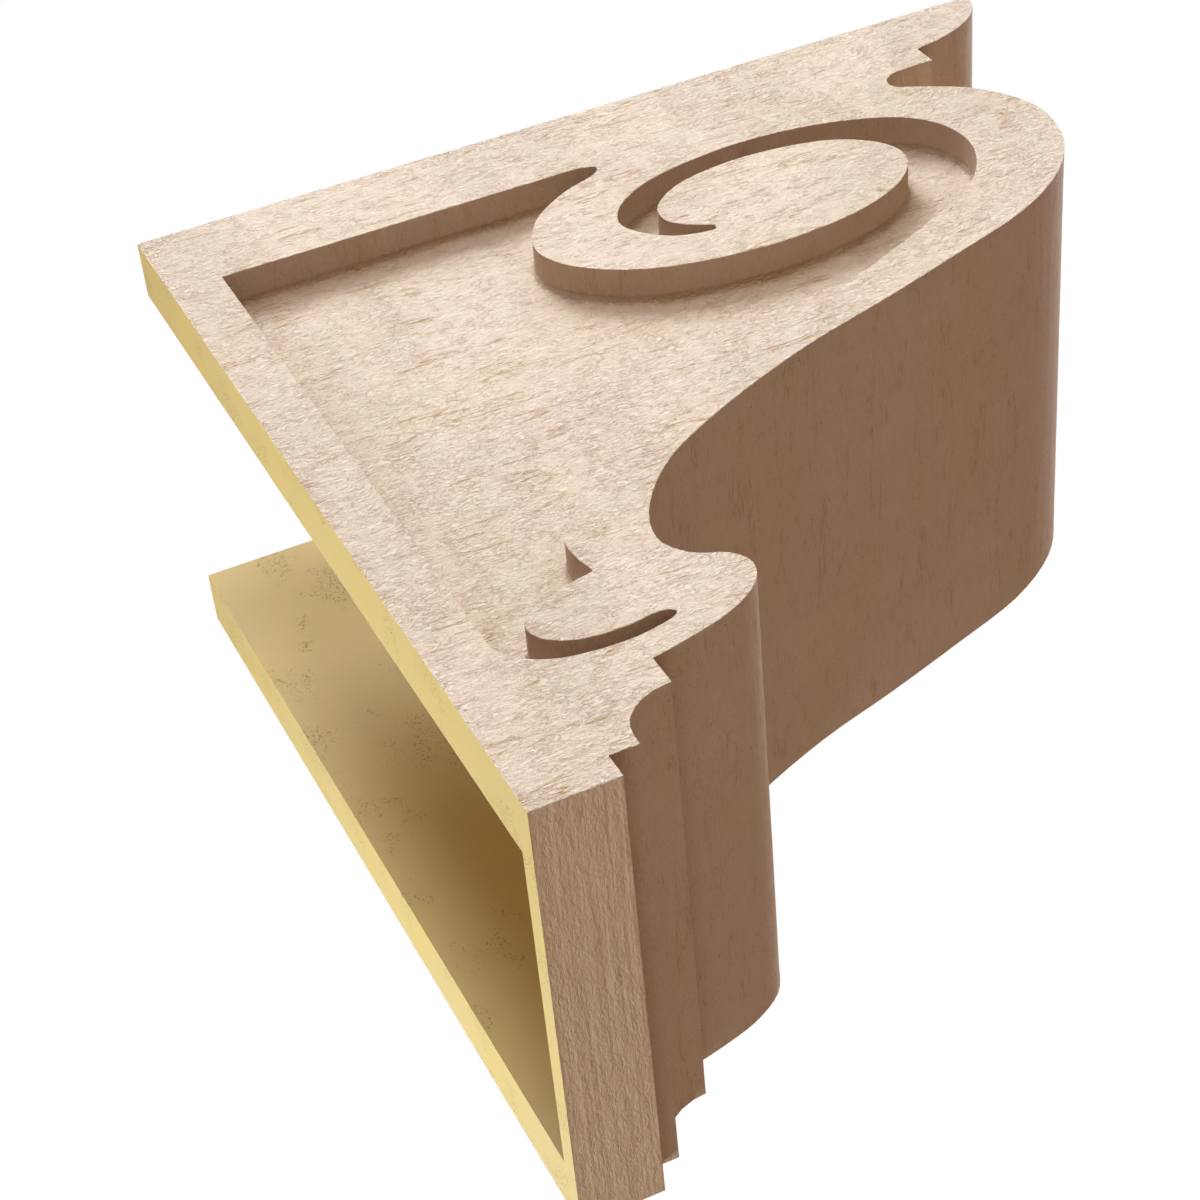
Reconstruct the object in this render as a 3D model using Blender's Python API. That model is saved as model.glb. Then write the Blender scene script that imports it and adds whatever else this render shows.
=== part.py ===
"""A hollow urethane corbel cast to look like rough-sawn timber, with a scroll sunk into each side.

Metres, +Z up. The back rim lies on the wall in the plane Y = 0 and the front faces -Y.
The origin is the middle of the bottom end's back rim.
"""

import math

import bmesh
import bpy

# The corbel reaches out from the wall as far as it is high, and is half as wide.
HEIGHT = 0.4064
WIDTH = HEIGHT / 2
SIDE_WALL = 0.0254
SHELL_WALL = 0.0097
RECESS_DEPTH = SIDE_WALL - SHELL_WALL

# Every outline is drawn in modules, out from the wall and down from the top edge.
MODULE = HEIGHT / 36
TOP = HEIGHT - SHELL_WALL / 2
OVERCUT = 2.0
FACETS = 4

TAN_PRIMER = (0.62, 0.47, 0.34, 1.0)
RAW_URETHANE = (0.70, 0.52, 0.26, 1.0)


def sweep(anchors, facets=FACETS):
    """Points of a smooth curve through the anchors, without the last one."""
    ends = [anchors[0]] + anchors + [anchors[-1]]
    points = []
    for a, b, c, d in zip(ends, ends[1:], ends[2:], ends[3:]):
        for step in range(facets):
            t = step / facets
            points.append(
                tuple(
                    q + 0.5 * t * (r - p + t * (2 * p - 5 * q + 4 * r - s + t * (3 * q - p - 3 * r + s)))
                    for p, q, r, s in zip(a, b, c, d)
                )
            )
    return points


def elliptic_arc(centre, radii, start, end, facets):
    """Points of part of an ellipse, with its angles in degrees from outwards towards downwards."""
    angles = [math.radians(start + (end - start) * step / facets) for step in range(facets + 1)]
    return [(centre[0] + radii[0] * math.cos(a), centre[1] + radii[1] * math.sin(a)) for a in angles]


def side_profile():
    """The corbel from the side: ovolo and fillet, big scroll, long S, small scroll, cove and foot."""
    ovolo = elliptic_arc((30.96, 0.0), (5.04, 2.88), 0, 78, 8)
    fillet = [(32.0, 4.0), (30.6, 4.0)]
    notch = elliptic_arc((30.6, 4.75), (1.03, 0.75), 250, 140, 6)
    front = sweep(
        [
            (30.0, 5.3), (32.0, 6.7), (33.2, 8.6), (33.4, 10.2), (32.9, 12.1), (31.4, 14.1),
            (28.8, 15.8), (25.2, 17.1), (21.6, 18.3), (18.0, 19.4), (14.4, 20.9), (11.2, 22.7),
            (9.35, 24.7), (8.7, 26.5), (9.25, 27.7), (10.3, 28.35), (10.7, 29.2), (10.2, 30.2),
            (8.9, 31.0), (7.2, 31.5), (6.0, 31.75),
        ]
    )
    step = [(6.0, 31.75)]
    cove = elliptic_arc((6.0, 34.6), (2.0, 1.6), 270, 180, 6)
    foot = [(4.0, 35.0), (3.0, 35.0), (3.0, 36.0), (0.0, 36.0), (0.0, 0.0)]
    return ovolo + fillet + notch + front + step + cove + foot


def scroll_recess():
    """The sunk ground between the rim, the two scrolls and the long S band."""
    under_cap = [(2.0, 4.0)]
    around_big_scroll = sweep(
        [
            (16.3, 4.0), (17.0, 4.25), (16.7, 4.75), (15.2, 5.35), (13.7, 6.4), (12.8, 7.7),
            (12.6, 9.0), (13.3, 10.4), (15.0, 11.75), (17.4, 12.6), (20.6, 12.95), (23.9, 12.55),
            (26.2, 11.5), (27.3, 10.0), (26.9, 8.5), (25.2, 7.25), (22.2, 6.7), (19.4, 7.05),
            (17.8, 8.1), (17.5, 9.2), (18.0, 9.95), (18.9, 10.55),
        ]
    )
    back_along_groove = sweep(
        [
            (18.9, 10.55), (18.7, 10.85), (17.4, 10.5), (16.4, 9.6), (16.0, 8.5), (16.8, 7.2),
            (18.8, 6.15), (22.2, 5.65), (25.5, 6.0), (28.2, 7.05), (29.5, 8.4), (29.85, 10.0),
            (29.4, 11.6), (28.2, 13.1), (26.3, 14.25),
        ]
    )
    along_band = sweep(
        [
            (26.3, 14.25), (23.6, 15.55), (19.5, 17.3), (15.5, 18.9), (12.2, 20.2), (9.4, 21.6),
            (7.3, 23.5), (6.1, 25.2), (6.25, 27.0),
        ]
    )
    around_small_scroll = sweep(
        [
            (6.25, 27.0), (5.2, 27.25), (3.9, 27.75), (3.3, 28.4), (3.5, 29.2), (4.4, 29.8),
            (5.8, 30.0), (7.1, 29.85), (7.6, 30.1), (7.1, 30.4), (5.6, 30.6), (3.7, 30.35),
            (2.5, 29.65), (2.0, 28.8),
        ]
    )
    return under_cap + around_big_scroll + back_along_groove + along_band + around_small_scroll + [(2.0, 28.8)]


def hollow_profile():
    """The hollow from the side. It runs out past the wall side and past the top."""
    upright = [(28.2, -OVERCUT)]
    front_wall = sweep(
        [
            (28.2, 11.0), (27.4, 13.4), (25.0, 15.5), (21.2, 17.0), (17.6, 18.1), (14.0, 19.5),
            (10.6, 21.4), (8.3, 23.8), (7.5, 26.4), (7.2, 28.8), (5.1, 31.0), (4.7, 32.6), (2.1, 34.0),
        ],
        2,
    )
    floor = (HEIGHT - SHELL_WALL) / MODULE
    foot = [(2.1, 34.0), (2.1, floor), (-OVERCUT, floor), (-OVERCUT, -OVERCUT)]
    return upright + front_wall + foot


def faces_wall_or_up(normal):
    return max(normal.y, normal.z) > 0.99


def everywhere(normal):
    return True


def nowhere(normal):
    return False


def slab(name, outline, thickness, across, materials, bare):
    """The outline filled and made thick, edge-on to the wall at X = across, with bare faces where asked."""
    curve = bpy.data.curves.new(name + "_outline", "CURVE")
    curve.dimensions = "2D"
    curve.fill_mode = "BOTH"
    curve.extrude = thickness / 2
    spline = curve.splines.new("POLY")
    spline.points.add(len(outline) - 1)
    for point, (out, down) in zip(spline.points, outline):
        point.co = (out * MODULE, TOP - down * MODULE, 0.0, 1.0)
    spline.use_cyclic_u = True
    drawn = bpy.data.objects.new(name + "_outline", curve)
    drawn.location = (across, 0.0, 0.0)
    drawn.rotation_euler = (math.pi / 2, 0.0, -math.pi / 2)
    bpy.context.scene.collection.objects.link(drawn)
    bpy.context.view_layer.update()

    evaluated = drawn.evaluated_get(bpy.context.evaluated_depsgraph_get())
    mesh = bpy.data.meshes.new_from_object(evaluated)
    solid = bpy.data.objects.new(name, mesh)
    solid.matrix_world = drawn.matrix_world
    bpy.data.objects.remove(drawn)
    bpy.data.curves.remove(curve)

    welded = bmesh.new()
    welded.from_mesh(mesh)
    bmesh.ops.remove_doubles(welded, verts=welded.verts, dist=1e-6)
    bmesh.ops.recalc_face_normals(welded, faces=welded.faces)
    welded.to_mesh(mesh)
    welded.free()
    for material in materials:
        mesh.materials.append(material)
    for face in mesh.polygons:
        face.material_index = int(bare(solid.matrix_world.to_3x3() @ face.normal))
    return solid


def finish(name, colour, roughness):
    material = bpy.data.materials.new(name)
    material.use_nodes = True
    shader = material.node_tree.nodes["Principled BSDF"]
    shader.inputs["Base Color"].default_value = colour
    shader.inputs["Roughness"].default_value = roughness
    shader.inputs["Metallic"].default_value = 0.0
    material.diffuse_color = colour
    return material


def cut(solid, cutter):
    modifier = solid.modifiers.new(cutter.name, "BOOLEAN")
    modifier.operation = "DIFFERENCE"
    modifier.solver = "EXACT"
    modifier.object = cutter


def build():
    for thing in list(bpy.data.objects):
        bpy.data.objects.remove(thing)
    parts = bpy.data.collections.new("urethane_corbel")
    cutters = bpy.data.collections.new("cutters")
    bpy.context.scene.collection.children.link(parts)
    bpy.context.scene.collection.children.link(cutters)
    finishes = [finish("tan_primer", TAN_PRIMER, 0.75), finish("raw_urethane", RAW_URETHANE, 0.8)]

    # The rims at the wall and at the top are bare urethane, and so is the hollow.
    corbel = slab("corbel", side_profile(), WIDTH, 0.0, finishes, faces_wall_or_up)
    parts.objects.link(corbel)

    hollow_width = WIDTH - 2 * SIDE_WALL
    hollow = slab("hollow", hollow_profile(), hollow_width, 0.0, finishes, everywhere)
    cutters.objects.link(hollow)
    cut(corbel, hollow)

    # Each recess cutter stands as far out of the side as it reaches into it.
    for name, side in (("left_recess", -1), ("right_recess", 1)):
        recess = slab(name, scroll_recess(), 2 * RECESS_DEPTH, side * WIDTH / 2, finishes, nowhere)
        cutters.objects.link(recess)
        cut(corbel, recess)

    for cutter in cutters.objects:
        cutter.hide_render = True
        cutter.display_type = "WIRE"


build()
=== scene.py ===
"""A hollow urethane corbel, cast to look like rough-sawn timber and primed tan, in a pale studio."""

import math

import bmesh
import bpy
import numpy as np
from mathutils import Matrix, Vector, geometry, noise


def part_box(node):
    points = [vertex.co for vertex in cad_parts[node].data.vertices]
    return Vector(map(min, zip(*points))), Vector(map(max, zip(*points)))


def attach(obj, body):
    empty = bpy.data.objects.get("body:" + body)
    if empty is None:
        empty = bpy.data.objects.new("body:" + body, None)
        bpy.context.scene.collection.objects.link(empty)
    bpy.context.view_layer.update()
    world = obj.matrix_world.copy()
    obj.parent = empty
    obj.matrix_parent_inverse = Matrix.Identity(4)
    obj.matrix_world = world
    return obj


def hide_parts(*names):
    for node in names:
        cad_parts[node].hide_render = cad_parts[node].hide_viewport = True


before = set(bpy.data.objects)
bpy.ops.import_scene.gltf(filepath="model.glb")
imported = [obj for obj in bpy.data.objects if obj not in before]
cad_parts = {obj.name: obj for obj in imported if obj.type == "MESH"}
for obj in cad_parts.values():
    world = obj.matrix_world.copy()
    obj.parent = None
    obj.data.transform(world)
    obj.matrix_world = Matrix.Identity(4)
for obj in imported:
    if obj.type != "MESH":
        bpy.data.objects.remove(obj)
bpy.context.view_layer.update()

MM = 0.001

# Sizes of the casting.
LOW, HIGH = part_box("corbel")
HALF_WIDTH = HIGH.x
SIDE_WALL = 25.4 * MM
RECESS_DEPTH = 15.7 * MM
RECESS_FILLET = 2.2 * MM
EDGE_ROUND = 0.5 * MM

# Shade is painted into the primer beside inner corners, over these distances from the foot of a recess
# wall and from a crease of the front. The slant moves the painted shade down, like a shadow of light from
# above: it reaches far below the walls that face down, and hardly above those that face up.
SHADE_FOOT_REACH = 40.0 * MM
SHADE_SLANT = 12.0 * MM
SHADE_CREASE_REACH = 13.0 * MM

# A corner this near a limit of the casting lies on it, and corners this near each other are one.
TOUCH = 0.1 * MM
SAME_SPOT = 0.01 * MM

# A face whose normal has this share along an axis faces that way, one with more than the second share across
# the corbel belongs to a rounded arris, and two whose normals' product is above the third share a plane.
FACING = 0.99
LEANING = 0.05
SAME_PLANE = 0.999999

# Faces closer in direction than the first angle are joined. Edges of the solid are arrises above the second
# and creases below the third, and those of the finished piece stay sharp above the fourth.
FLAT = math.radians(0.05)
ARRIS = math.radians(40)
CREASE = math.radians(-25)
SHARP = math.radians(50)

# How far apart the points of the modelled surface are, along the grain and across it.
SPACING = {
    "side": (2.9 * MM, 1.9 * MM),
    "ground": (2.9 * MM, 1.9 * MM),
    "recess_wall": (2.6 * MM, 2.4 * MM),
    "front": (3.4 * MM, 2.4 * MM),
    "foot_end": (2.9 * MM, 1.9 * MM),
    "arris": (3.4 * MM, 2.4 * MM),
    "bare_rim": (5.0 * MM, 5.0 * MM),
    "hollow": (8.0 * MM, 8.0 * MM),
}

# The points keep this share of their spacing away from an edge.
EDGE_CLEARANCE = 0.55

# Beside a recess wall they keep further away, and rows of points at these distances from it take their
# place, so that the fillet at its foot comes out round. A point of a row that is nearer to another stretch
# of wall than this share of the row's distance is left out.
FILLET_CLEARANCE = 1.6 * RECESS_FILLET
FILLET_ROWS = (0.35 * MM, 0.9 * MM, 1.6 * MM, 2.4 * MM)
FILLET_ROW_STEP = 1.6 * MM
FILLET_ROW_ROOM = 0.96

# The number of the finish on each kind of surface, in the order in which the corbel gets its finishes.
FINISH = {
    "side": 0,
    "ground": 0,
    "arris": 0,
    "front": 1,
    "foot_end": 2,
    "recess_wall": 3,
    "bare_rim": 4,
    "hollow": 5,
}

# How deep the modelled part of the sawn texture is.
SAWN_RELIEF = {
    "side": 0.34 * MM,
    "ground": 0.34 * MM,
    "foot_end": 0.24 * MM,
    "front": 0.16 * MM,
    "recess_wall": 0.12 * MM,
}

# How long its lumps are along the grain and across it, in millimetres.
LUMP_ALONG = 18.0
LUMP_ACROSS = 7.0


# The casting's surface

def clean_solid(source):
    """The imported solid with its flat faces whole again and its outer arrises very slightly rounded."""
    solid = bmesh.new()
    solid.from_mesh(source.data)
    bmesh.ops.remove_doubles(solid, verts=solid.verts, dist=SAME_SPOT)
    bmesh.ops.dissolve_limit(solid, angle_limit=FLAT, verts=solid.verts, edges=solid.edges)
    solid.normal_update()
    arrises = [
        edge
        for edge in solid.edges
        if edge.is_manifold
        and edge.calc_face_angle_signed() > ARRIS
        and not any(kind_of([face]) in ("bare_rim", "hollow") for face in edge.link_faces)
    ]
    bmesh.ops.bevel(
        solid,
        geom=arrises,
        offset=EDGE_ROUND,
        segments=2,
        profile=0.5,
        affect="EDGES",
        clamp_overlap=True,
    )
    solid.normal_update()
    return solid


def kind_of(faces):
    """Which surface of the casting this flat stretch belongs to."""
    normal = faces[0].normal
    corners = [vert.co for face in faces for vert in face.verts]
    reach = [abs(corner.x) for corner in corners]
    low_y = min(corner.y for corner in corners)
    low_z = min(corner.z for corner in corners)
    one_side = len({corner.x > 0 for corner in corners}) == 1
    if max(reach) < HALF_WIDTH - SIDE_WALL + TOUCH:
        return "hollow"
    if normal.y > FACING and low_y > HIGH.y - TOUCH:
        return "bare_rim"
    if normal.z > FACING and low_z > HIGH.z - TOUCH:
        return "bare_rim"
    if normal.z < -FACING and low_z < LOW.z + TOUCH:
        return "foot_end"
    if abs(normal.x) > FACING:
        return "side" if max(reach) > HALF_WIDTH - TOUCH else "ground"
    if abs(normal.x) > LEANING:
        return "arris"
    if one_side and min(reach) > HALF_WIDTH - RECESS_DEPTH - TOUCH:
        return "recess_wall"
    return "front"


def flat_stretches(solid):
    """The solid's faces in groups that share a plane."""
    left = set(solid.faces)
    groups = []
    for first in solid.faces:
        if first not in left:
            continue
        left.remove(first)
        group, waiting = [], [first]
        while waiting:
            face = waiting.pop()
            group.append(face)
            for edge in face.edges:
                for other in edge.link_faces:
                    if other in left and other.normal.dot(face.normal) > SAME_PLANE:
                        left.remove(other)
                        waiting.append(other)
        groups.append(group)
    return groups


def inside(points, ends):
    """Whether each 2D point lies inside the closed outline made of these segments."""
    found = np.zeros(len(points), bool)
    for (x0, y0), (x1, y1) in ends:
        if y0 == y1:
            continue
        spans = (points[:, 1] > y0) != (points[:, 1] > y1)
        crossing = x0 + (points[:, 1] - y0) * (x1 - x0) / (y1 - y0)
        found ^= spans & (points[:, 0] < crossing)
    return found


def distance_to(points, ends):
    """Each 2D point's distance to the nearest of these segments."""
    nearest = np.full(len(points), 1e9)
    for start, end in ends:
        run = end - start
        share = np.clip(((points - start) @ run) / max(run @ run, 1e-18), 0, 1)
        gap = points - start - share[:, None] * run
        nearest = np.minimum(nearest, np.einsum("ij,ij->i", gap, gap))
    return np.sqrt(nearest)


def enclosed(triangles, walls):
    """The triangles inside the outline.

    Each crossing of one of its walls leads from outside to inside or back.
    """
    users = {}
    for number, (a, b, c) in enumerate(triangles):
        for ends in ((a, b), (b, c), (c, a)):
            users.setdefault(frozenset(ends), []).append(number)
    is_inside = {}
    for ends, found in users.items():
        if len(found) == 1:
            is_inside[found[0]] = ends in walls
    waiting = list(is_inside)
    while waiting:
        number = waiting.pop()
        a, b, c = triangles[number]
        for ends in (frozenset((a, b)), frozenset((b, c)), frozenset((c, a))):
            for other in users[ends]:
                if other not in is_inside:
                    is_inside[other] = is_inside[number] != (ends in walls)
                    waiting.append(other)
    return [triangle for number, triangle in enumerate(triangles) if is_inside[number]]


class Surface:
    """The fine mesh, gathered stretch by stretch, with the points on shared edges made once.

    For the points of the sunk ground it keeps the distance to the nearest recess wall, and a closeness from
    0 to 1 that says how much shade is painted there.
    """

    def __init__(self):
        self.points = []
        self.kinds = []
        self.triangles = []
        self.finishes = []
        self.corner_ids = {}
        self.edge_ids = {}
        self.ground_gap = {}
        self.foot_shade = {}

    def add(self, point, kind):
        self.points.append(Vector(point))
        self.kinds.append({kind})
        return len(self.points) - 1

    def corner(self, vert, kind):
        if vert.index not in self.corner_ids:
            self.corner_ids[vert.index] = self.add(vert.co, kind)
        number = self.corner_ids[vert.index]
        self.kinds[number].add(kind)
        return number

    def along_edge(self, edge, kind, step):
        """The numbers of the points from one end of the edge to the other."""
        start, end = sorted(edge.verts, key=lambda vert: vert.index)
        if edge.index not in self.edge_ids:
            count = max(1, math.ceil(edge.calc_length() / step))
            self.edge_ids[edge.index] = [
                self.add(start.co.lerp(end.co, part / count), kind) for part in range(1, count)
            ]
        middle = self.edge_ids[edge.index]
        for number in middle:
            self.kinds[number].add(kind)
        return [self.corner(start, kind), *middle, self.corner(end, kind)]


def edge_step(edge, kinds):
    """The spacing along an edge: the finest that the stretches on its two sides ask for."""
    direction = (edge.verts[1].co - edge.verts[0].co).normalized()
    steps = []
    for kind in kinds:
        along, across = SPACING[kind]
        grain = abs(direction.y) if kind in ("side", "ground") else abs(direction.x)
        steps.append(along * grain + across * (1 - grain))
    return min(steps)


def mesh_stretch(surface, group, kind, group_of, kind_list):
    """Fills one flat stretch with triangles whose points keep to the spacing of its kind."""
    normal = group[0].normal
    first = Vector((0, 1, 0)) if abs(normal.x) > FACING else Vector((1, 0, 0))
    first = (first - normal * first.dot(normal)).normalized()
    second = normal.cross(first)
    base = group[0].verts[0].co.copy()

    numbers, segments = [], []
    for face in group:
        for edge in face.edges:
            sides = {group_of[other.index] for other in edge.link_faces}
            if len(sides) == 1:
                continue
            run = surface.along_edge(edge, kind, edge_step(edge, [kind_list[side] for side in sides]))
            segments += zip(run, run[1:])
            numbers += run
    numbers = sorted(set(numbers))
    place = {number: spot for spot, number in enumerate(numbers)}

    def flat(point):
        return (point - base).dot(first), (point - base).dot(second)

    edge_points = np.array([flat(surface.points[number]) for number in numbers])
    ends = [(edge_points[place[a]], edge_points[place[b]]) for a, b in segments]
    grid = staggered_grid(kind, edge_points, ends)
    if kind == "ground":
        grid = np.concatenate([grid, fillet_rings(segments, place, edge_points, ends)])

    loose = [Vector(point) for point in np.concatenate([edge_points, grid])]
    bounds = [(place[a], place[b]) for a, b in segments]
    made, _, faces, sources, _, _ = geometry.delaunay_2d_cdt(loose, bounds, [], 0, 1e-9)
    made = np.array([tuple(point) for point in made])
    spot_of = {number: spot for spot, source in enumerate(sources) for number in source}
    walls = {frozenset((spot_of[a], spot_of[b])) for a, b in bounds}
    ids = []
    for spot, source in enumerate(sources):
        on_edge = [number for number in source if number < len(numbers)]
        if on_edge:
            ids.append(numbers[on_edge[0]])
        else:
            ids.append(surface.add(base + first * made[spot][0] + second * made[spot][1], kind))
    if kind == "ground":
        surface.ground_gap.update(zip(ids, distance_to(made, ends)))
        upwards = np.array((first.z, second.z))
        surface.foot_shade.update(zip(ids, shade_beside_foot(made, upwards, ends)))
    filled = [[ids[corner] for corner in face] for face in enclosed(faces, walls)]
    surface.triangles += filled
    surface.finishes += [FINISH[kind]] * len(filled)


def staggered_grid(kind, edge_points, ends):
    """Points in rows inside the outline, each row shifted by half a step against the last."""
    step_u, step_v = SPACING[kind]
    low, high = edge_points.min(0), edge_points.max(0)
    grid = []
    for row, v in enumerate(np.arange(low[1] + step_v, high[1], step_v)):
        shift = 0.5 * step_u * (row % 2)
        us = np.arange(low[0] + 0.5 * step_u + shift, high[0], step_u)
        grid += [(u, v) for u in us]
    grid = np.array(grid).reshape(-1, 2)
    if len(grid):
        grid = grid[inside(grid, ends)]
    if len(grid):
        clearance = FILLET_CLEARANCE if kind == "ground" else EDGE_CLEARANCE * step_v
        grid = grid[distance_to(grid, ends) > clearance]
    return grid


def shade_beside_foot(points, upwards, ends):
    """How much shade is painted on points of the ground, from 0 to 1: how close they are to the foot of a
    recess wall, with the slant.
    """
    above = points + upwards * SHADE_SLANT
    reach = distance_to(above, ends) * np.where(inside(above, ends), 1, -1) + SHADE_SLANT
    return np.clip(1 - reach / SHADE_FOOT_REACH, 0, 1)


def fillet_rings(segments, place, edge_points, ends):
    """Rows of points beside the foot of the recess wall, close enough together to round it."""
    rings = []
    for reach in FILLET_ROWS:
        ring = []
        for a, b in segments:
            start, end = edge_points[place[a]], edge_points[place[b]]
            run = end - start
            length = np.hypot(*run)
            aside = np.array((-run[1], run[0])) / length * reach
            parts = max(1, round(length / max(FILLET_ROW_STEP, reach)))
            for part in range(parts):
                middle = start + run * (part + 0.5) / parts
                ring += [middle + aside, middle - aside]
        ring = np.array(ring)
        ring = ring[inside(ring, ends)]
        rings.append(ring[distance_to(ring, ends) > FILLET_ROW_ROOM * reach])
    return np.concatenate(rings)


def sawn_depth(point, kind):
    """How far the sawn texture is sunk here. The grain runs along Y on the sides and along X elsewhere."""
    if kind in ("side", "ground"):
        lengths = (LUMP_ACROSS, LUMP_ALONG, LUMP_ACROSS)
    else:
        lengths = (LUMP_ALONG, LUMP_ACROSS, LUMP_ACROSS)
    stretched = Vector([place / length for place, length in zip(point, lengths)]) / MM
    smoothness, finer_by, octaves = 0.9, 2.1, 2
    depth = 0.5 + 0.5 * noise.fractal(stretched, smoothness, finer_by, octaves)
    return SAWN_RELIEF[kind] * min(max(depth, 0.0), 1.2)


def fillet_rise(gap):
    """How far the rounded foot of the recess wall stands above the ground, this far from the wall."""
    if gap >= RECESS_FILLET:
        return 0.0
    return RECESS_FILLET - math.sqrt(RECESS_FILLET**2 - (RECESS_FILLET - gap) ** 2)


def shape_surface(surface, normals):
    """Rounds the foot of the recess walls and sinks the sawn texture."""
    wall_share = (RECESS_DEPTH - RECESS_FILLET) / RECESS_DEPTH
    shaped = []
    for number, (point, kinds) in enumerate(zip(surface.points, surface.kinds)):
        point = point.copy()
        side = math.copysign(1.0, point.x)
        if number in surface.ground_gap:
            point.x += side * fillet_rise(surface.ground_gap[number])
        elif kinds == {"recess_wall"} or kinds == {"recess_wall", "arris"}:
            depth = HALF_WIDTH - abs(point.x)
            point.x = side * (HALF_WIDTH - depth * wall_share)
        if len(kinds) == 1 and not kinds & {"arris", "bare_rim", "hollow"}:
            point -= Vector(normals[number]) * sawn_depth(point, next(iter(kinds)))
        shaped.append(point)
    return shaped


def front_creases(solid):
    """Where the inner corners that run across the front are, as places in the YZ plane."""
    return [
        edge.verts[0].co.yz
        for edge in solid.edges
        if edge.calc_face_angle_signed(0.0) < CREASE
        and abs(edge.verts[0].co.x - edge.verts[1].co.x) > HALF_WIDTH
        and kind_of([edge.link_faces[0]]) == "front"
    ]


def shade_near_corners(surface, creases):
    """How much shade is painted at each point, from 0 to 1: how close it is to an inner corner."""
    closeness = np.zeros(len(surface.points), np.float32)
    for number, share in surface.foot_shade.items():
        closeness[number] = share
    for number, (point, kinds) in enumerate(zip(surface.points, surface.kinds)):
        if "front" in kinds:
            gap = min((point.yz - crease).length for crease in creases)
            closeness[number] = max(0.0, 1 - gap / SHADE_CREASE_REACH)
    return closeness


def casting():
    """The corbel's whole skin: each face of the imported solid, fine enough to carry the sawn texture."""
    solid = clean_solid(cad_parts["corbel"])
    solid.verts.index_update()
    solid.edges.index_update()
    solid.faces.index_update()
    groups = flat_stretches(solid)
    kind_list = [kind_of(group) for group in groups]
    group_of = {face.index: number for number, group in enumerate(groups) for face in group}
    surface = Surface()
    for group, kind in zip(groups, kind_list):
        mesh_stretch(surface, group, kind, group_of, kind_list)
    creases = front_creases(solid)
    solid.free()

    mesh = bpy.data.meshes.new("corbel_casting")
    mesh.from_pydata(surface.points, [], surface.triangles)
    mesh.polygons.foreach_set("material_index", surface.finishes)
    trued = bmesh.new()
    trued.from_mesh(mesh)
    bmesh.ops.recalc_face_normals(trued, faces=trued.faces)
    trued.to_mesh(mesh)
    trued.free()
    shaped = shape_surface(surface, [vert.normal.copy() for vert in mesh.vertices])
    mesh.vertices.foreach_set("co", np.array([tuple(point) for point in shaped]).ravel())
    # How much shade is painted at each point, for the finishes to use.
    corner_shade_layer = mesh.attributes.new("painted_corner_shade", "FLOAT", "POINT")
    corner_shade_layer.data.foreach_set("value", shade_near_corners(surface, creases))
    mesh.update()
    for polygon in mesh.polygons:
        polygon.use_smooth = True
    mesh.set_sharp_from_angle(angle=SHARP)
    piece = bpy.data.objects.new("corbel_casting", mesh)
    bpy.context.scene.collection.objects.link(piece)
    weighted = piece.modifiers.new("true_flats", "WEIGHTED_NORMAL")
    weighted.keep_sharp = True
    return piece


# Finishes

PRIMER_IOR = 1.5
URETHANE_IOR = 1.5

# Colours of the marks in the finishes.
# Painted shade in the hollows between the fibres.
SHADE_BETWEEN_FIBRES = "#C29F70"
TORN_FIBRE = "#AC864C"
# The valleys round the crumbs: a mark that is partly painted shade.
CRUMB_VALLEY_MARK_AND_SHADE = "#B48A54"
BUBBLE_PIT = "#6B4E36"
# Painted shade beside the inner corners.
PAINTED_CORNER_SHADE = "#9C6F3C"
PORE = "#6B5230"


def linear(hex_colour):
    """An sRGB hex colour as linear RGBA."""
    channels = [int(hex_colour[at : at + 2], 16) / 255 for at in (1, 3, 5)]
    return (*[c / 12.92 if c <= 0.04045 else ((c + 0.055) / 1.055) ** 2.4 for c in channels], 1.0)


def per_metre(x, y, z):
    """How often a pattern repeats in a metre, from its size in millimetres along each axis."""
    return 1 / (x * MM), 1 / (y * MM), 1 / (z * MM)


def add_node(tree, kind, settings, inputs):
    """A node with its settings. An input is a value, an output, or a node whose first output it takes."""
    node = tree.nodes.new(kind)
    for name, value in settings.items():
        setattr(node, name, value)
    for name, value in inputs.items():
        if isinstance(value, bpy.types.Node):
            value = value.outputs[0]
        if isinstance(value, bpy.types.NodeSocket):
            tree.links.new(value, node.inputs[name])
        else:
            node.inputs[name].default_value = value
    return node


def new_finish(name, ior):
    """An opaque material with an empty node tree but for its shader, which is linked to the output."""
    material = bpy.data.materials.new(name)
    material.use_nodes = True
    tree = material.node_tree
    tree.nodes.clear()
    shader = add_node(tree, "ShaderNodeBsdfPrincipled", {}, {"IOR": ior, "Metallic": 0.0})
    add_node(tree, "ShaderNodeOutputMaterial", {}, {"Surface": shader})
    return material, tree, shader


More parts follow.
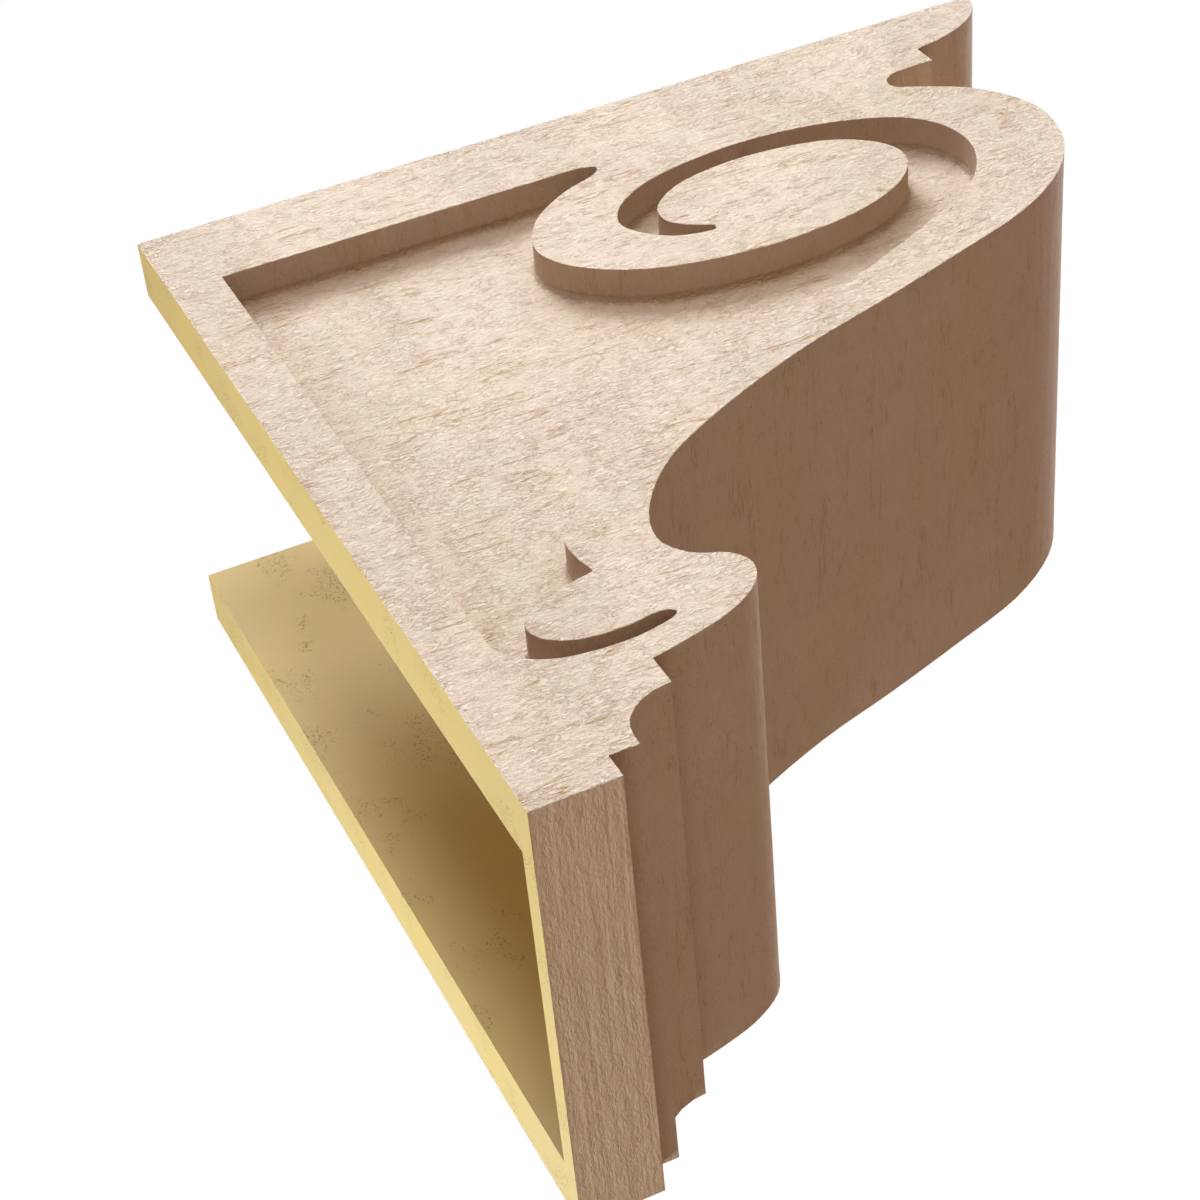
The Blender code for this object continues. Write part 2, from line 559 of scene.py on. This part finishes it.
def sawn_layers(tree, place, grain):
    """The soft noise layers of a sawn surface, stretched along the grain.

    Single wood fibres are far too fine to show, so they are drawn as bundles one to two millimetres wide.
    """
    # Each layer: its size in millimetres along and across the grain, detail, roughness, distortion.
    layers = {
        "fibres": (1.9, 1.05, 3.0, 0.62, 0.25),
        "lumps": (7.5, 4.2, 2.0, 0.5, 0.3),
        "tears": (60.0, 6.0, 4.0, 0.55, 0.1),
        "tear_places": (26.0, 9.0, 2.0, 0.5, 0.0),
        "crumbs": (4.4, 1.9, 4.0, 0.66, 0.3),
        "crumb_places": (9.0, 5.0, 2.0, 0.5, 0.0),
        "bands": (46.0, 130.0, 2.0, 0.5, 0.0),
        "saw_marks": (120.0, 3.0, 2.0, 0.5, 0.0),
        "patches": (42.0, 120.0, 3.0, 0.6, 0.0),
        "warmth": (80.0, 45.0, 2.0, 0.5, 0.0),
    }
    field = {}
    for layer, (along, across, detail, roughness, distortion) in layers.items():
        sizes = [along if axis == grain else across for axis in "XYZ"]
        spread = add_node(
            tree, "ShaderNodeMapping", {}, {"Vector": place, "Scale": per_metre(*sizes)}
        )
        field[layer] = add_node(
            tree, "ShaderNodeTexNoise", {},
            {
                "Vector": spread,
                "Scale": 1.0,
                "Detail": detail,
                "Roughness": roughness,
                "Distortion": distortion,
            },
        )
    return field


def torn_lines(tree, field):
    """Thin lines in the sawn surface, and how far the crumbs between them rise.

    Where its noise passes through the middle of its range, a layer has a thin line: a long tear in the
    fibre, the valley round a torn crumb, or a band across the grain where the saw jarred.
    """
    off_middle = {}
    lines = {}
    for layer, half_width in (("tears", 0.018), ("crumbs", 0.034), ("bands", 0.05)):
        shifted = add_node(tree, "ShaderNodeMath", {"operation": "SUBTRACT"}, {0: field[layer], 1: 0.5})
        off_middle[layer] = add_node(tree, "ShaderNodeMath", {"operation": "ABSOLUTE"}, {0: shifted})
        lines[layer] = add_node(
            tree, "ShaderNodeMapRange", {"interpolation_type": "SMOOTHSTEP"},
            {
                "Value": off_middle[layer],
                "From Min": 0.0,
                "From Max": half_width,
                "To Min": 1.0,
                "To Max": 0.0,
            },
        )

    # Tears come in some places, and crumbs are dense in the bands and scattered elsewhere.
    torn = add_node(
        tree, "ShaderNodeMapRange", {},
        {"Value": field["tear_places"], "From Min": 0.50, "From Max": 0.58},
    )
    lines["tears"] = add_node(
        tree, "ShaderNodeMath", {"operation": "MULTIPLY"}, {0: lines["tears"], 1: torn}
    )
    scattered = add_node(
        tree, "ShaderNodeMapRange", {},
        {"Value": field["crumb_places"], "From Min": 0.42, "From Max": 0.62},
    )
    crumbly = add_node(
        tree, "ShaderNodeMath", {"operation": "MULTIPLY_ADD", "use_clamp": True},
        {0: lines["bands"], 1: 0.6, 2: scattered},
    )
    lines["crumbs"] = add_node(
        tree, "ShaderNodeMath", {"operation": "MULTIPLY"}, {0: lines["crumbs"], 1: crumbly}
    )
    crumb_rise = add_node(
        tree, "ShaderNodeMapRange", {"interpolation_type": "SMOOTHSTEP"},
        {"Value": off_middle["crumbs"], "From Min": -0.05, "From Max": 0.12},
    )
    return lines, crumb_rise


def bubble_pits(tree, place, bubbling):
    """Round pits, half a millimetre to a millimetre wide, where bubbles in the mould left them."""
    apart, bubble_share = bubbling
    cells = add_node(
        tree, "ShaderNodeMapping", {}, {"Vector": place, "Scale": per_metre(apart, apart, apart)}
    )
    bubbles = add_node(tree, "ShaderNodeTexVoronoi", {}, {"Vector": cells, "Scale": 1.0})
    draw = add_node(tree, "ShaderNodeSeparateColor", {}, {"Color": bubbles.outputs["Color"]})
    kept = add_node(
        tree, "ShaderNodeMath", {"operation": "GREATER_THAN"}, {0: draw, 1: 1 - bubble_share}
    )
    round_pit = add_node(
        tree, "ShaderNodeMapRange", {"interpolation_type": "SMOOTHSTEP"},
        {"Value": bubbles, "From Min": 0.03, "From Max": 0.10, "To Min": 1.0, "To Max": 0.0},
    )
    return add_node(tree, "ShaderNodeMath", {"operation": "MULTIPLY"}, {0: round_pit, 1: kept})


def primed_urethane(name, grain, relief, stain_and_shade, bubbling, paint):
    """Rigid urethane cast in a mould taken from rough-sawn timber, then sprayed with a thin tan primer.

    The eye sees short torn fibres and saw marks along the grain. The matt primer is pale on the raised
    fibres and browner in the tears, as marks. The hollows between the fibres carry painted shade, and the
    valleys round the crumbs are marks that partly are painted shade. All grow browner with the stain and
    shade strength.
    """
    material, tree, shader = new_finish(name, PRIMER_IOR)
    place = add_node(tree, "ShaderNodeTexCoord", {}, {}).outputs["Object"]
    field = sawn_layers(tree, place, grain)
    lines, crumb_rise = torn_lines(tree, field)
    pits = bubble_pits(tree, place, bubbling)

    # The height of the surface in millimetres. The timber is rougher in some stretches than in others.
    rough = add_node(
        tree, "ShaderNodeMapRange", {"interpolation_type": "SMOOTHSTEP"},
        {"Value": field["patches"], "From Min": 0.44, "From Max": 0.54, "To Min": 0.9, "To Max": 1.15},
    )
    height = add_node(
        tree, "ShaderNodeMath", {"operation": "MULTIPLY"}, {0: field["fibres"], 1: relief["fibres"]}
    )
    for mark, rise in ((field["lumps"], relief["lumps"]), (crumb_rise, relief["crumbs"])):
        height = add_node(
            tree, "ShaderNodeMath", {"operation": "MULTIPLY_ADD"}, {0: mark, 1: rise, 2: height}
        )
    height = add_node(tree, "ShaderNodeMath", {"operation": "MULTIPLY"}, {0: height, 1: rough})
    for mark, rise in (
        (field["saw_marks"], relief["saw_marks"]),
        (lines["tears"], -relief["tears"]),
        (lines["crumbs"], -0.3 * relief["crumbs"]),
        (pits, -0.4),
    ):
        height = add_node(
            tree, "ShaderNodeMath", {"operation": "MULTIPLY_ADD"}, {0: mark, 1: rise, 2: height}
        )
    bump = add_node(
        tree, "ShaderNodeBump", {}, {"Height": height, "Distance": MM, "Strength": 1.0}
    )

    # Shade is painted beside the inner corners: the surface is browner there, most of all below walls that
    # face down.
    corner = add_node(
        tree, "ShaderNodeAttribute",
        {"attribute_type": "GEOMETRY", "attribute_name": "painted_corner_shade"}, {},
    )
    shade_in_corner = add_node(
        tree, "ShaderNodeMath", {"operation": "POWER"}, {0: corner.outputs["Fac"], 1: 2.1}
    )

    # Colour: pale on the raised fibres, with painted shade in the hollows between them, browner tears and
    # pits, valleys round the crumbs that are partly painted shade, and painted shade beside the inner
    # corners.
    fibre_hollow_shade = add_node(
        tree, "ShaderNodeMapRange", {},
        {"Value": field["fibres"], "From Min": 0.30, "From Max": 0.60, "To Min": 1.0, "To Max": 0.0},
    )
    warm = add_node(
        tree, "ShaderNodeMapRange", {},
        {"Value": field["warmth"], "From Min": 0.35, "From Max": 0.65},
    )
    body = add_node(
        tree, "ShaderNodeMix", {"data_type": "RGBA"},
        {"Factor": warm, 6: linear(paint[0]), 7: linear(paint[1])},
    )
    for mark, strength, colour in (
        (fibre_hollow_shade, 0.25 * stain_and_shade, SHADE_BETWEEN_FIBRES),
        (lines["tears"], 0.75 * stain_and_shade, TORN_FIBRE),
        (lines["crumbs"], 0.55 * stain_and_shade, CRUMB_VALLEY_MARK_AND_SHADE),
        (pits, 0.7, BUBBLE_PIT),
        (shade_in_corner, 0.7, PAINTED_CORNER_SHADE),
    ):
        share = add_node(tree, "ShaderNodeMath", {"operation": "MULTIPLY"}, {0: mark, 1: strength})
        body = add_node(
            tree, "ShaderNodeMix", {"data_type": "RGBA"},
            {"Factor": share, 6: body.outputs[2], 7: linear(colour)},
        )
    dullness = add_node(
        tree, "ShaderNodeMapRange", {},
        {"Value": field["fibres"], "From Min": 0.3, "From Max": 0.7, "To Min": 0.88, "To Max": 0.7},
    )
    tree.links.new(body.outputs[2], shader.inputs["Base Color"])
    tree.links.new(dullness.outputs[0], shader.inputs["Roughness"])
    tree.links.new(bump.outputs[0], shader.inputs["Normal"])
    return material


def bare_urethane(name, skin_colours):
    """Unpainted rigid urethane foam as it left the open side of the mould.

    The eye sees a dull yellow skin with faint clouds, and clusters of small dark pores where gas broke out.
    The foam's own cells are too fine to show, so the skin's grain and the pores are drawn about a millimetre
    wide.
    """
    material, tree, shader = new_finish(name, URETHANE_IOR)
    place = add_node(tree, "ShaderNodeTexCoord", {}, {}).outputs["Object"]

    # Each layer: its size in millimetres, detail, roughness, distortion.
    field = {}
    for layer, size, detail, roughness, distortion in (
        ("clouds", 45.0, 2.0, 0.5, 0.0),
        ("skin", 1.4, 3.0, 0.5, 0.0),
        ("holes", 1.15, 2.0, 0.5, 0.2),
        ("clusters", 30.0, 3.0, 0.62, 0.4),
    ):
        spread = add_node(
            tree, "ShaderNodeMapping", {}, {"Vector": place, "Scale": per_metre(size, size, size)}
        )
        field[layer] = add_node(
            tree, "ShaderNodeTexNoise", {},
            {
                "Vector": spread,
                "Scale": 1.0,
                "Detail": detail,
                "Roughness": roughness,
                "Distortion": distortion,
            },
        )
    hole = add_node(
        tree, "ShaderNodeMapRange", {"interpolation_type": "SMOOTHSTEP"},
        {"Value": field["holes"], "From Min": 0.55, "From Max": 0.68},
    )
    cluster = add_node(
        tree, "ShaderNodeMapRange", {"interpolation_type": "SMOOTHSTEP"},
        {"Value": field["clusters"], "From Min": 0.52, "From Max": 0.60},
    )
    pores = add_node(tree, "ShaderNodeMath", {"operation": "MULTIPLY"}, {0: hole, 1: cluster})
    cloud = add_node(
        tree, "ShaderNodeMapRange", {},
        {"Value": field["clouds"], "From Min": 0.35, "From Max": 0.65},
    )
    body = add_node(
        tree, "ShaderNodeMix", {"data_type": "RGBA"},
        {"Factor": cloud, 6: linear(skin_colours[0]), 7: linear(skin_colours[1])},
    )
    share = add_node(tree, "ShaderNodeMath", {"operation": "MULTIPLY"}, {0: pores, 1: 0.5})
    body = add_node(
        tree, "ShaderNodeMix", {"data_type": "RGBA"},
        {"Factor": share, 6: body.outputs[2], 7: linear(PORE)},
    )

    # The height of the surface in millimetres.
    height = add_node(tree, "ShaderNodeMath", {"operation": "MULTIPLY"}, {0: field["skin"], 1: 0.12})
    height = add_node(
        tree, "ShaderNodeMath", {"operation": "MULTIPLY_ADD"}, {0: pores, 1: -0.4, 2: height}
    )
    bump = add_node(
        tree, "ShaderNodeBump", {}, {"Height": height, "Distance": MM, "Strength": 0.8}
    )
    dullness = add_node(
        tree, "ShaderNodeMapRange", {},
        {"Value": field["skin"], "From Min": 0.3, "From Max": 0.7, "To Min": 0.7, "To Max": 0.82},
    )
    tree.links.new(body.outputs[2], shader.inputs["Base Color"])
    tree.links.new(dullness.outputs[0], shader.inputs["Roughness"])
    tree.links.new(bump.outputs[0], shader.inputs["Normal"])
    return material


# The corbel

corbel = casting()

# The two colours between which the primer varies on each finish. The copies on the front, the foot end and
# the recess walls are darker than on the sides, as painted shade for faces that turn away from the lights.
TAN = ("#E2D1C1", "#E0D0BB")
FRONT_SHADED_TAN = ("#D1B9A2", "#CFB99E")
RECESS_WALL_SHADED_TAN = ("#C2A893", "#C0A890")
END_SHADED_TAN = ("#CEB497", "#CCB392")

# The two between which the skin of the bare foam varies, on the rims and in the hollow.
RIM_SKIN = ("#CAB46C", "#C8B374")
HOLLOW_SKIN = ("#C0A972", "#BDA676")

# How high each layer of the sawn texture stands on each finish, in millimetres.
TORN = {"fibres": 1.3, "lumps": 1.0, "crumbs": 0.3, "saw_marks": 0.4, "tears": 0.2}
END_GRAIN = {"fibres": 0.3, "lumps": 0.38, "crumbs": 0.0, "saw_marks": 0.4, "tears": 0.0}
PLANED = {"fibres": 0.6, "lumps": 0.3, "crumbs": 0.05, "saw_marks": 0.04, "tears": 0.05}
SCRAPED = {"fibres": 0.9, "lumps": 0.6, "crumbs": 0.1, "saw_marks": 0.2, "tears": 0.05}

# Bubbles: how many millimetres apart their places are, and the share of the places that have one.
FEW = (8.0, 0.08)
MANY = (3.6, 0.45)

for finish in (
    primed_urethane("primed_faux_wood_sides", "Y", TORN, 1.0, FEW, TAN),
    primed_urethane("primed_faux_wood_front", "X", PLANED, 0.65, MANY, FRONT_SHADED_TAN),
    primed_urethane("primed_faux_wood_end", "X", END_GRAIN, 0.25, FEW, END_SHADED_TAN),
    primed_urethane("primed_faux_wood_recess_walls", "X", SCRAPED, 0.5, FEW, RECESS_WALL_SHADED_TAN),
    bare_urethane("bare_urethane_rims", RIM_SKIN),
    bare_urethane("bare_urethane_hollow", HOLLOW_SKIN),
):
    corbel.data.materials.append(finish)
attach(corbel, "root")
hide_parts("corbel")


# Studio

MIDDLE = (LOW + HIGH) / 2
DAYLIGHT = "#EEF8FF"
PAPER = "#EFECE6"
PAPER_IOR = 1.5
PAPER_ROUGHNESS = 0.9
ROOM_SHADE = "#9B7E6E"


def softbox(name, offset, size, power, spread_deg):
    """A round softbox with a grid, turned towards the middle of the corbel.

    Its offset from there and its size are in metres, its power in watts and its spread in degrees.
    """
    data = bpy.data.lights.new(name, "AREA")
    data.shape = "DISK"
    data.size = size
    data.energy = power
    data.color = linear(DAYLIGHT)[:3]
    data.spread = math.radians(spread_deg)
    light = bpy.data.objects.new(name, data)
    light.location = MIDDLE + Vector(offset)
    light.rotation_euler = Vector(offset).to_track_quat("Z", "Y").to_euler()
    bpy.context.scene.collection.objects.link(light)


softbox("left_softbox", (-1.75, 0.05, 1.75), 1.2, 7.0, 60)
softbox("left_level_softbox", (-2.4, 0.05, 0.1), 1.4, 5.9, 60)
softbox("right_softbox", (2.3, 0.05, 0.95), 1.8, 11.0, 60)
softbox("front_softbox", (0.45, -1.9, 1.35), 0.8, 3.4, 45)
softbox("rear_softbox", (0.6, 1.8, -0.5), 0.5, 2.2, 40)

FLOOR_DROP = 1.6
FLOOR_RADIUS = 6.0
bpy.ops.mesh.primitive_circle_add(
    vertices=96, radius=FLOOR_RADIUS, fill_type="NGON", location=(0, 0, -FLOOR_DROP)
)
floor = bpy.context.object
floor.name = "pale_floor"
floor_material, floor_tree, floor_shader = new_finish("matt_paper_floor", PAPER_IOR)
floor_shader.inputs["Base Color"].default_value = linear(PAPER)
floor_shader.inputs["Roughness"].default_value = PAPER_ROUGHNESS
floor.data.materials.append(floor_material)

# The softboxes' beams miss most of the floor, so for the camera it glows evenly in its own pale colour.
floor_seen = add_node(floor_tree, "ShaderNodeLightPath", {}, {}).outputs["Is Camera Ray"]
floor_glow = add_node(
    floor_tree, "ShaderNodeEmission", {}, {"Color": linear(PAPER), "Strength": 1.0}
)
floor_mix = add_node(
    floor_tree, "ShaderNodeMixShader", {}, {0: floor_seen, 1: floor_shader, 2: floor_glow}
)
floor_tree.links.new(floor_mix.outputs[0], floor_tree.nodes["Material Output"].inputs["Surface"])

# The room is a warm, dim shade all round, and the sweep that the camera sees behind the corbel is white.
world = bpy.data.worlds.new("studio")
bpy.context.scene.world = world
world.use_nodes = True
walls = world.node_tree
walls.nodes.clear()
shade = add_node(walls, "ShaderNodeBackground", {}, {"Color": linear(ROOM_SHADE), "Strength": 1.0})
white = add_node(walls, "ShaderNodeBackground", {}, {"Color": (1, 1, 1, 1), "Strength": 1.0})
seen = add_node(walls, "ShaderNodeLightPath", {}, {}).outputs["Is Camera Ray"]
both = add_node(walls, "ShaderNodeMixShader", {}, {0: seen, 1: shade, 2: white})
add_node(walls, "ShaderNodeOutputWorld", {}, {"Surface": both})
bpy.context.scene.view_settings.view_transform = "Standard"


# Camera: below the corbel, behind the wall plane and to its left, rolled so that the left side faces up.

# Fitted to the photo's vanishing lines and outline.
CAMERA_PLACE = Vector((-0.6818, 0.2061, -0.6053))
CAMERA_RIGHT = Vector((0.0802, -0.9016, -0.4251))
CAMERA_UP = Vector((-0.7819, -0.3214, 0.5342))

# In millimetres.
LENS = 81.91
SENSOR = 36.0

camera_data = bpy.data.cameras.new("camera")
camera_data.sensor_width = SENSOR
camera_data.lens = LENS
camera_data.clip_start = 0.01
camera = bpy.data.objects.new("camera", camera_data)
right = CAMERA_RIGHT.normalized()
back = right.cross(CAMERA_UP).normalized()
turned = Matrix((right, back.cross(right), back)).transposed().to_4x4()
camera.matrix_world = Matrix.Translation(CAMERA_PLACE) @ turned
bpy.context.scene.collection.objects.link(camera)
bpy.context.scene.camera = camera
